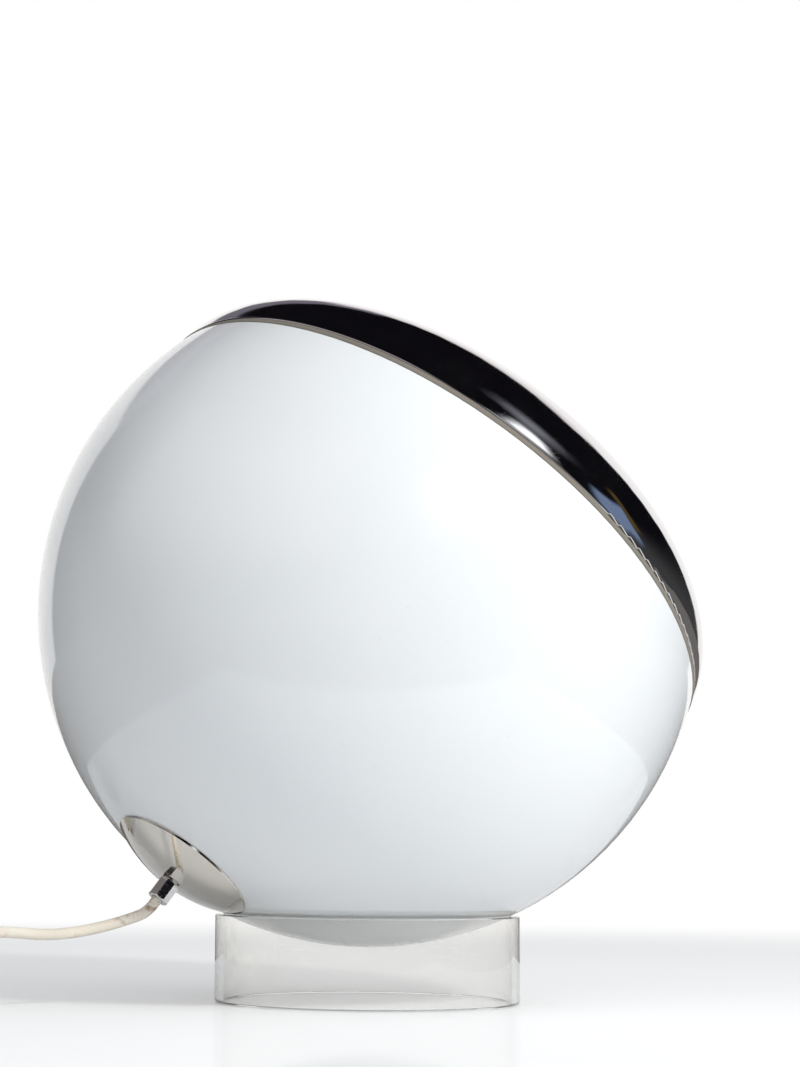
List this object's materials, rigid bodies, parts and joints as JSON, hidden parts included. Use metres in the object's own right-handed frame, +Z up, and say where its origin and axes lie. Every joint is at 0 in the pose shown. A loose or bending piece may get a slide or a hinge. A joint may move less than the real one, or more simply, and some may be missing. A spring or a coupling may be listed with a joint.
{
  "type": "glass globe table lamp",
  "caption": "Table lamp: an opal glass globe with a chromed dome cap leans in a clear ring; chromed end disc and gland, cream mains lead with switch and plug.",
  "frame": {"origin": "table under the middle of the glass ball and of the ring it rests on", "axes": "+Z up; the lamp leans toward +X, its cap up and its cord end low at -X"},
  "size_m": [0.5606, 0.5013, 0.3931],
  "materials": {
    "opal_glass": "polished white opal",
    "chrome": "polished",
    "clear_acrylic": "clear, polished",
    "rubber": "matt",
    "gasket_grey": "matt, aged",
    "zinc_steel": "zinc plated",
    "holder_plastic": "satin black",
    "porcelain": "unglazed",
    "brass": "bare",
    "cap_metal": "bare",
    "bulb_clear": "clear",
    "filament": "coated",
    "cord_sheath": "aged cream vinyl",
    "core_live": "smooth",
    "core_neutral": "smooth",
    "switch_plastic": "moulded cream",
    "rocker_plastic": "moulded cream",
    "plug_plastic": "moulded cream",
    "nickel": "nickel plated"
  },
  "bodies": {
    "base": {"base_ring": "clear_acrylic", "cord_lead": "cord_sheath", "cord_link": "cord_sheath", "cord_coil": "cord_sheath", "cord_tail": "cord_sheath", "switch_base": "switch_plastic", "switch_cover": "switch_plastic", "case_screws": "zinc_steel", "plug_relief": "plug_plastic", "plug_body": "plug_plastic", "plug_clips": "nickel", "plug_pins": "nickel"},
    "globe": {"glass_globe": "opal_glass", "disc_gasket": "rubber", "bottom_disc": "chrome", "neck_collar": "chrome", "threaded_stem": "zinc_steel", "gland_nut": "chrome", "gland_seal": "rubber", "cord_entry": "cord_sheath", "inner_gasket": "rubber", "clamp_plate": "zinc_steel", "spring_washer": "zinc_steel", "lock_nut": "zinc_steel", "holder_cup": "holder_plastic", "holder_sleeve": "holder_plastic", "holder_insert": "porcelain", "screw_shell": "brass", "centre_contact": "brass", "terminal_screws": "brass", "wire_live": "core_live", "wire_neutral": "core_neutral"},
    "bulb": {"bulb_contact": "cap_metal", "bulb_insulator": "holder_plastic", "bulb_cap": "cap_metal", "bulb_glass": "bulb_clear", "bulb_stem": "bulb_clear", "bulb_filament": "filament"},
    "cap": {"dome_cap": "chrome", "rim_gasket": "gasket_grey", "guide_ring": "zinc_steel"},
    "rocker": {"switch_rocker": "rocker_plastic"}
  },
  "joints": [
    {"name": "globe_tilt", "type": "hinge", "parent": "base", "child": "globe", "pos_m": [0, 0, 0.22017], "axis": [0, 1, 0], "range_deg": [0, 38], "deforming": ["cord_lead"]},
    {"name": "cap_lift", "type": "slide", "parent": "globe", "child": "cap", "axis": [0.6293, 0, 0.7771], "range_m": [0, 0.15]},
    {"name": "bulb_out", "type": "slide", "parent": "globe", "child": "bulb", "axis": [0.6293, 0, 0.7771], "range_m": [0, 0.06]},
    {"name": "switch_rock", "type": "hinge", "parent": "base", "child": "rocker", "pos_m": [-0.35967, 0.10551, 0.0125], "axis": [-0.9848, -0.1736, 0], "range_deg": [0, 14]}
  ]
}
